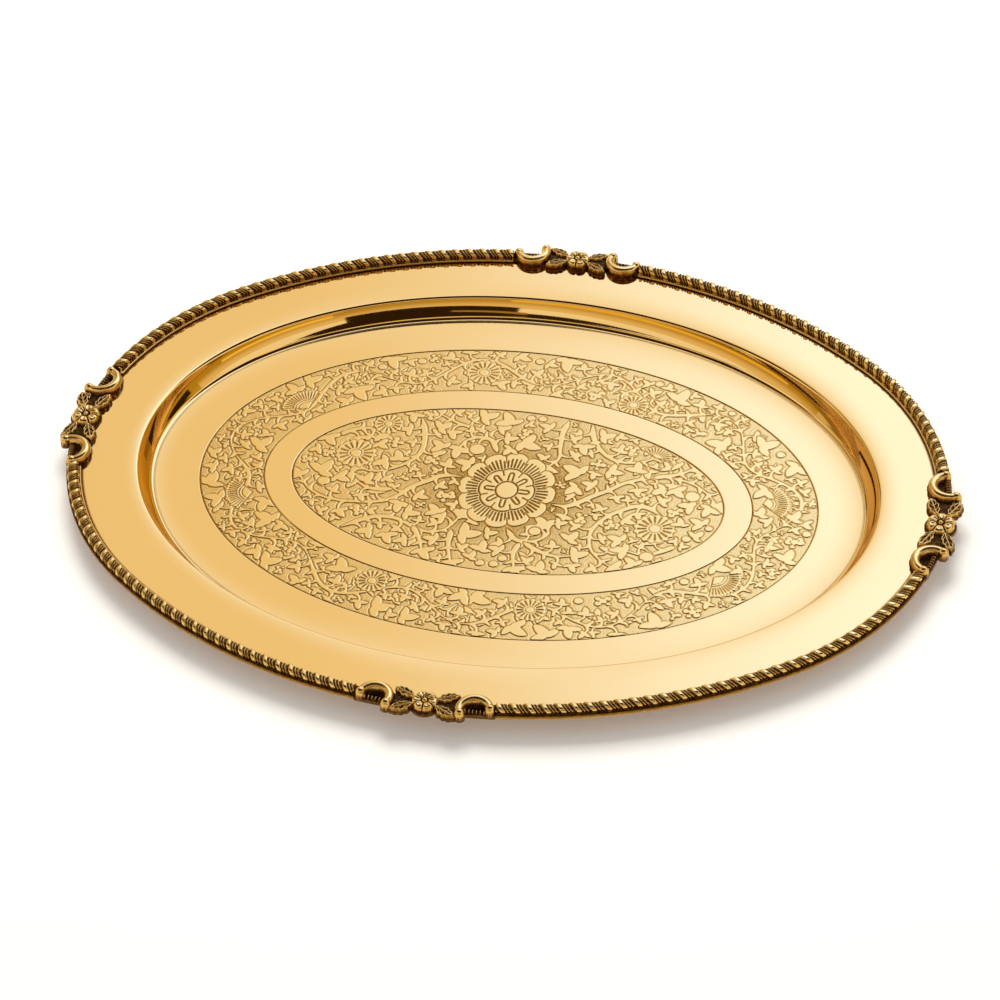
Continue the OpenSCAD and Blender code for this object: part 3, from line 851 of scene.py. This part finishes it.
# The medallion's stems, flowers and discs, which differ from side to side
STEMS = [
    [(-22, 5), (-30, 4), (-35, 0), (-42, -6), (-46, -12), (-52, -17), (-62, -19.5), (-75, -20), (-85, -16)]
    + [(-92, -8)],
    [(-50, -9), (-60, -10), (-66, -7)],
    [(-66, -37), (-57, -30), (-50, -27), (-42, -27.5), (-35, -31), (-28, -33), (-22, -31), (-19, -27)]
    + [(-16, -20)],
    [(-35, -31), (-31, -37), (-28, -44)],
    [(-18, -30), (-17, -40), (-14, -49)],
    [(-48, 40), (-46, 35), (-44, 28), (-43, 20), (-45, 13), (-50, 7), (-56, 3), (-62, 1), (-67, 3)],
    [(-12, 30), (-18, 36), (-25, 38), (-32, 40), (-40, 44)],
    [(-10, 24), (-14, 31), (-20, 32), (-25, 29), (-27, 24)],
    [(-82, 22), (-76, 27), (-69, 29), (-64, 26)],
    [(22, -5.5), (28, -5.5), (33, -2), (38, 3), (44, 8), (50, 14), (57, 18), (63, 20.5), (72, 21), (80, 19)]
    + [(87, 14), (92, 8)],
    [(62, 20), (72, 24), (78, 29)],
    [(28, 50), (30, 42), (34, 35), (40, 29.5), (47, 27.5), (55, 29.5), (61, 34), (65, 38)],
    [(17, 50), (16, 42), (17, 32), (18, 25), (15, 19)],
    [(70, -4), (64, 0), (58, 0), (52, -4), (47, -9), (43, -16), (42, -22), (44, -30), (49, -36), (55, -40)],
    [(6, -25), (10, -30), (15, -31.5), (21, -29), (24, -24), (22, -20)],
    [(15, -32), (22, -36), (30, -38), (37, -36.5)],
    [(13, -33), (12, -40), (14, -48)],
    [(80, -22), (74, -27), (68, -30), (60, -29)],
]
FLOWERS = [(-56, 22), (-52, 13), (-59, 8), (-45, 43), (-37, 36), (-36, 24), (-37, 13), (-74, -6), (-62, -4)]
FLOWERS += [(-91, 4), (-45, -19), (-38, -23), (-62, -25), (-55, -37), (-45, -40), (-83, 10), (-28, -18)]
FLOWERS += [(28, 6), (36, -12), (35, -25), (54, -22), (50, -14), (44, 20), (54, 25), (36, 24), (27, 33)]
FLOWERS += [(36, 43), (49, 36), (66, 12), (74, 12), (61, 6), (87, -5), (89, 3), (0, 38), (-2, -38), (80, 5)]
DISCS = [(-81, -9, 3.0), (81, 11, 3.4), (69, -31, 3.2), (-19, 24, 3.6), (18, -24, 2.8)]
DISCS += [(0, 49, 2.2), (-1, -48, 2.2)]


def medallion_motifs(art):
    """Flowering vines about the rosette."""
    for points in STEMS:
        art.vine(points)
    for k, (x, y) in enumerate(FLOWERS):
        way = 1.7 * k
        if k % 3:
            art.spray(x - 3 * cos(way), y - 3 * sin(way), way, 7.6)
            art.lay(x, y, 6.0)
        else:
            art.blossom(x, y, 4.0, 4 + k % 2, way)
    for x, y, r in DISCS:
        art.disc(x, y, r)
    art.daisy(-71.5, 11.5, 9.6, 16)
    art.daisy(69, -12.5, 9.6, 16)
    art.daisy(-62, 33.5, 7.0, 14)
    art.fan(60, 33, 8.0, 1.2, 2.6, 11)
    art.rosette()


BAND_MIDDLE = 72.0
BENDS = 22  # in the stem that waves round the band
BEND_STEPS = 8


def band_motifs(art):
    """A waving vine round the band, with a curl and a flower in each of its bends."""
    points, normals = ellipse_walk(BAND_MIDDLE, BENDS * BEND_STEPS)
    sway = 7.5 * np.sin(np.arange(len(points)) * pi / BEND_STEPS)
    stem = points + normals * sway[:, None]
    closed = np.vstack([stem, stem[:6]])
    for k in range(BENDS):
        at = BEND_STEPS * k + BEND_STEPS // 2
        side = 1 if k % 2 else -1
        inwards = -side * normals[at]
        along = np.array([-normals[at][1], normals[at][0]]) * (1 if k % 4 < 2 else -1)
        heart = points[at] + inwards * 2.5
        curl = [
            heart + (8.0 - 0.55 * n) * (-cos(u) * along + sin(u) * inwards)
            for n, u in enumerate(np.linspace(-1.0, 3.6, 10))
        ]
        art.vine(curl, 0.95, 0.8)
        art.blossom(*heart, 4.4, 4 + k % 2, 1.3 * k)
    for k in range(0, len(stem), 22):  # in lengths that meet
        art.vine(closed[k : k + 24], 1.25, 1.0)
    for x, y, r in ((-28, 76, 8.6), (43, 66.4, 7.4), (-44, -68, 7.4), (27, -73, 7.4)):
        art.daisy(x, y, r, 16)
    for x, y, turn in ((-100, 37, 2.4), (112, 12, 0.3), (100, -38, -0.6), (-110, -22, 3.5)):
        art.fan(x, y, 13.0, turn, 1.9, 14)


HATCH_PITCH = 0.95


def engraved(name, art, inner, seed):
    """The engraving down to an inner ellipse, as four slabs with cut edges that lie on the pan's shelf."""
    x, y = np.meshgrid(art.xs, art.ys, indexing="ij")
    edge = past_ellipse(x, y, art.outer)
    if inner:
        edge = np.maximum(edge, -past_ellipse(x, y, inner))
    art.fill(-edge - 0.4, 2.3)

    # Raised motifs on a ground of wavering hatched lines, with cuts round them and a line at the edge
    land = smooth(art.motif, -0.06, 0.2)
    wander = 2.4 * np.sin(x / 5.3 + 1.4 * np.sin(y / 6.1) + seed) + 1.6 * np.sin(y / 3.7 + x / 8.3)
    hatch = np.sin(tau * (art.motif + 0.25 * wander) / HATCH_PITCH)
    line = 1 - smooth(art.cut, 0.08, 0.34)
    lip = 1 - smooth(-edge, 0.1, 0.5)
    top = FLOOR_Z - GROUND_DEPTH * (1 - land) + 0.02 * hatch * (1 - land)
    top = np.maximum(top - CUT_DEPTH * line, FLOOR_Z - DEEPEST)
    top = np.minimum(top, FLOOR_Z - LINE_DEPTH * lip)

    # Tarnish lies in the cuts and between the hatched lines, and most about the rosette.
    clouds = 0.5 + 0.25 * np.sin(x / 23.0 + seed) + 0.25 * np.sin(y / 17.0 - x / 31.0 + 2 * seed)
    middle_dark = 0.48 * np.exp(-((np.hypot(x, 1.2 * y) / 35) ** 2))
    ground = 0.01 + 0.04 * clouds + 0.2 * smooth(-hatch, -0.2, 0.9) + middle_dark
    darkening = np.maximum(ground * (1 - land), (0.46 + 0.8 * middle_dark) * line)
    darkening = np.maximum(np.maximum(darkening, 0.6 * lip), 0.02 * clouds)

    for number, (sx, sy) in enumerate(((1, 1), (-1, 1), (-1, -1), (1, -1)), 1):
        quarter = np.maximum(edge, np.maximum(-sx * x, -sy * y))
        pick = np.ix_(art.xs * sx >= -1.5 * STEP, art.ys * sy >= -1.5 * STEP)
        shelf = np.full(x[pick].shape, SHELF_Z)
        slab = grid_slab(x[pick], y[pick], top[pick], shelf, quarter[pick], STEP)
        verts, quads, sides, used, count = slab
        # The underside is one face, so of its points only the outline's are kept.
        after = dict(zip(sides[:, 3].tolist(), sides[:, 2].tolist()))
        loop = [int(sides[0, 3])]
        while after[loop[-1]] != loop[0]:
            loop.append(after[loop[-1]])
        keep = np.concatenate([np.arange(count), sorted(loop)])
        renumber = np.full(2 * count, -1)
        renumber[keep] = np.arange(len(keep))
        patina_and_shade = np.concatenate([darkening[pick][used], np.full(len(loop), 0.5)])
        faces = renumber[np.concatenate([quads, sides])]
        under = [renumber[loop].tolist()]
        finish = (engraved_brass, "sheet_brass", "pan")
        new_piece(f"{name}_{number}", verts[keep], faces, patina_and_shade, *finish, under, len(sides))


medallion = Engraving(MEDALLION)
medallion_motifs(medallion)
engraved("medallion", medallion, None, 0.7)
band = Engraving(BAND_OUT)
band_motifs(band)
engraved("band", band, BAND_IN, 2.9)


# ---- stage, camera and light

FLOOR_HALF = 6.0  # in metres
FLOOR_DROP = 0.0002
FLOOR_LIGHT = 0.1
AMBIENT = 0.62


def seen_directly(nt):
    """1 where a camera, glossy or transmission ray arrives."""
    path = add_node(nt, "LightPath").outputs
    total = calculate(nt, "ADD", path["Is Camera Ray"], path["Is Glossy Ray"], clamp=True)
    return calculate(nt, "ADD", total, path["Is Transmission Ray"], clamp=True)


def bare_material(name):
    """A material with no nodes yet."""
    material = bpy.data.materials.new(name)
    material.use_nodes = True
    material.node_tree.nodes.clear()
    return material


def stage_piece(name, points, faces, material):
    """A piece of the stage in this material."""
    mesh = bpy.data.meshes.new(name)
    mesh.from_pydata(points, [], faces)
    mesh.materials.append(material)
    made = link_object(name, mesh)
    return made


# A pale paper floor, which a little of its own light brings to white, tinted warm as painted bounce light
# from the brass
paper = bare_material("paper")
nt = paper.node_tree
# The warm tint is painted bounce light, and shows only in the shadow.
diffuse = add_node(nt, "BsdfDiffuse", {"Color": (0.88, 0.855, 0.8, 1)}).outputs[0]
own_light = calculate(nt, "MULTIPLY", seen_directly(nt), FLOOR_LIGHT)
glow = add_node(nt, "Emission", {"Strength": own_light}).outputs[0]
both = add_node(nt, "AddShader", {0: diffuse, 1: glow}).outputs[0]
add_node(nt, "OutputMaterial", {"Surface": both})
corners = [(x * FLOOR_HALF, y * FLOOR_HALF, 0) for x, y in CORNERS]
floor = stage_piece("floor", corners, [(0, 1, 2, 3)], paper)
floor.location = (0, 0, -FLOOR_DROP)

# The world is white to the eye and in mirrors, and lights the object a little less than that.
world = bpy.data.worlds.new("studio")
bpy.context.scene.world = world
world.use_nodes = True
nt = world.node_tree
nt.nodes.clear()
level = remap(nt, seen_directly(nt), 0.0, 1.0, AMBIENT, 1.0)
sky = add_node(nt, "Background", {"Color": (1, 1, 1, 1), "Strength": level}).outputs[0]
add_node(nt, "OutputWorld", {"Surface": sky})

# The camera stands where the photograph's did, 2 m away with a long lens.
ELEVATION = radians(41.856)
HEADING = radians(-14.904)
ROLL = radians(-2.721)
EYE = (-3.003, -4.295, -1965.22)  # from the floor's middle: to the right, up and ahead
LENS = 160.9
behind = Vector((sin(HEADING), cos(HEADING), 0))  # level, away from the camera
right = Vector((cos(HEADING), -sin(HEADING), 0))
upright = Vector((0, 0, 1))
ahead = behind * cos(ELEVATION) - upright * sin(ELEVATION)
up = behind * sin(ELEVATION) + upright * cos(ELEVATION)
cam_right = right * cos(ROLL) + up * sin(ROLL)
cam_up = up * cos(ROLL) - right * sin(ROLL)
eye_at = (right * EYE[0] + up * EYE[1] + ahead * EYE[2] + upright * FLOOR_Z) * MM
lens = bpy.data.cameras.new("camera")
lens.lens = LENS
camera = link_object("camera", lens)
axes = Matrix((cam_right, cam_up, -ahead)).transposed()
camera.matrix_world = Matrix.Translation(eye_at) @ axes.to_4x4()
bpy.context.scene.camera = camera


# One soft lamp faces the tray; in mirrors the cards stand in for it.
KEY_AT = Vector((-0.15, 0.8, 1.6))  # in metres
lamp = bpy.data.lights.new("key", "AREA")
lamp.shape = "RECTANGLE"
lamp.size = lamp.size_y = 1.1
lamp.energy = 26
lamp.color = (1.0, 0.98, 0.95)
key = link_object("key", lamp)
key.location = KEY_AT
key.rotation_euler = (-KEY_AT).to_track_quat("-Z", "Y").to_euler()
key.visible_glossy = False

# The room that the metal mirrors. Its places are a direction and a distance in metres from the tray's
# middle: the azimuth runs from straight behind the tray to the right as the camera sees it, in degrees.
ROOM_AWAY = 1.3
ROOM_STEP = 6  # degrees


def direction(azimuth, elevation):
    """The unit vector towards a place in the room."""
    az, el = radians(azimuth), radians(elevation)
    return (behind * cos(az) + right * sin(az)) * cos(el) + upright * sin(el)


def glow_material(name, first, last, edges, axis):
    """An emission that runs from one tone to another along an axis of the mesh's UV map."""
    material = bare_material(name)
    nt = material.node_tree
    place = add_node(nt, "TexCoord").outputs["UV"]
    split = add_node(nt, "SeparateXYZ", {0: place}).outputs[axis]
    ramp = remap(nt, split, *edges, interpolation_type="SMOOTHSTEP")
    tone = mix_colours(nt, ramp, (*first, 1), (*last, 1), clamp_result=False)
    light = add_node(nt, "Emission", {"Color": tone}).outputs[0]
    add_node(nt, "OutputMaterial", {"Surface": light})
    return material


def mirrored(name, points, faces, tones, edges, axis):
    """A part of the studio that only glossy rays see, of quads that each fill the UV map."""
    piece = stage_piece(name, points, faces, glow_material(name, *tones, edges, axis))
    piece.data.uv_layers.new(name="across").data.foreach_set("uv", [0, 0, 1, 0, 1, 1, 0, 1] * len(faces))
    for ray in ("camera", "diffuse", "transmission", "volume_scatter", "shadow"):
        setattr(piece, "visible_" + ray, False)


def card(name, azimuth, elevation, away, size, left_tone, right_tone, edges=(0.0, 1.0)):
    """A flat card, its tone running from its left to its right."""
    out_to = direction(azimuth, elevation)
    sideways = out_to.cross(upright).normalized() * size[0] / 2
    upwards = sideways.normalized().cross(out_to) * size[1] / 2
    points = [out_to * away + sideways * i + upwards * j for i, j in CORNERS]
    mirrored(name, points, [(0, 1, 2, 3)], (left_tone, right_tone), edges, "X")


def room_part(name, azimuths, low, high, tone, high_tone=None, away=ROOM_AWAY, edges=(0.0, 1.0)):
    """A curved part of the room, its tone running from its foot to its top.

    It reaches from the elevations low[0] and high[0] at its first azimuth to low[1] and high[1].
    """
    columns = 2 + int(abs(azimuths[1] - azimuths[0]) / ROOM_STEP)
    points = []
    for k in np.linspace(0, 1, columns):
        azimuth = azimuths[0] + (azimuths[1] - azimuths[0]) * k
        for ends in (low, high):
            points.append(direction(azimuth, ends[0] + (ends[1] - ends[0]) * k) * away)
    faces = [(2 * i, 2 * i + 2, 2 * i + 3, 2 * i + 1) for i in range(columns - 1)]
    mirrored(name, points, faces, (tone, high_tone or tone), edges, "Y")


DARK = (0.03, 0.016, 0.007)
DIM = (0.3, 0.19, 0.05)
AMBER = (0.5, 0.32, 0.025)
TAN = (0.84, 0.7, 0.44)
card("window", 0, 42, 3.0, (5.3, 1.7), (0.98, 0.95, 0.88), (1.24, 1.68, 3.1), (0.452, 0.583))
card("window_top", 0, 57, 3.1, (5.3, 0.7), (1.0, 1.1, 1.4), (1.24, 1.68, 3.0), (0.36, 0.56))
card("ceiling", 180, 84, 1.1, (2.4, 1.2), DARK, DARK)
room_part("low_room", (84, 278), (-2, -2), (18, 18), AMBER, TAN, 1.4, (0.4, 0.9))
room_part("low_shine", (112, 155), (2, 4), (8, 10), AMBER, (1.05, 0.78, 0.17), 1.35, (0.3, 0.7))
room_part("low_streak", (196, 262), (5, 4), (9, 7), (0.9, 0.62, 0.1), away=1.35)
room_part("low_shade", (205, 262), (2, 1), (4, 3), DIM, away=1.35)
room_part("camera_side", (158, 198), (14, 17), (34, 34), DARK)
room_part("camera_right", (198, 250), (25, 24), (34, 32), DARK)
room_part("camera_left", (136, 160), (27, 22), (34, 34), DARK)
room_part("camera_gap", (120, 250), (34, 34), (50, 50), (0.85, 0.68, 0.42))
room_part("camera_glint", (184, 200), (23, 24), (25, 27), (0.4, 0.26, 0.08), away=1.25)
room_part("right_room", (10, 96), (-2, -2), (30, 30), (0.48, 0.32, 0.03), (0.85, 0.64, 0.16), 1.4, (0.3, 1))
room_part("right_corner", (50, 90), (5, 5), (12, 12), DARK)
room_part("right_corner_edge", (40, 50), (10, 7), (15, 13), DIM)
room_part("left_shade", (-60, -12.5), (34, 34), (62, 62), (0.5, 0.36, 0.17), away=2.9)
room_part("left_room", (-84, -8), (-2, -2), (34, 34), (0.74, 0.6, 0.34), (0.68, 0.57, 0.36), 1.4)
room_part("left_beam", (-17, -66), (31, 13), (37, 18), DARK)
room_part("left_rail", (-17, -58), (23, 8), (25, 11), DARK)
room_part("left_corner", (-58, -100), (4, 0), (9, 4), DIM)

bpy.context.scene.view_settings.view_transform = "Standard"
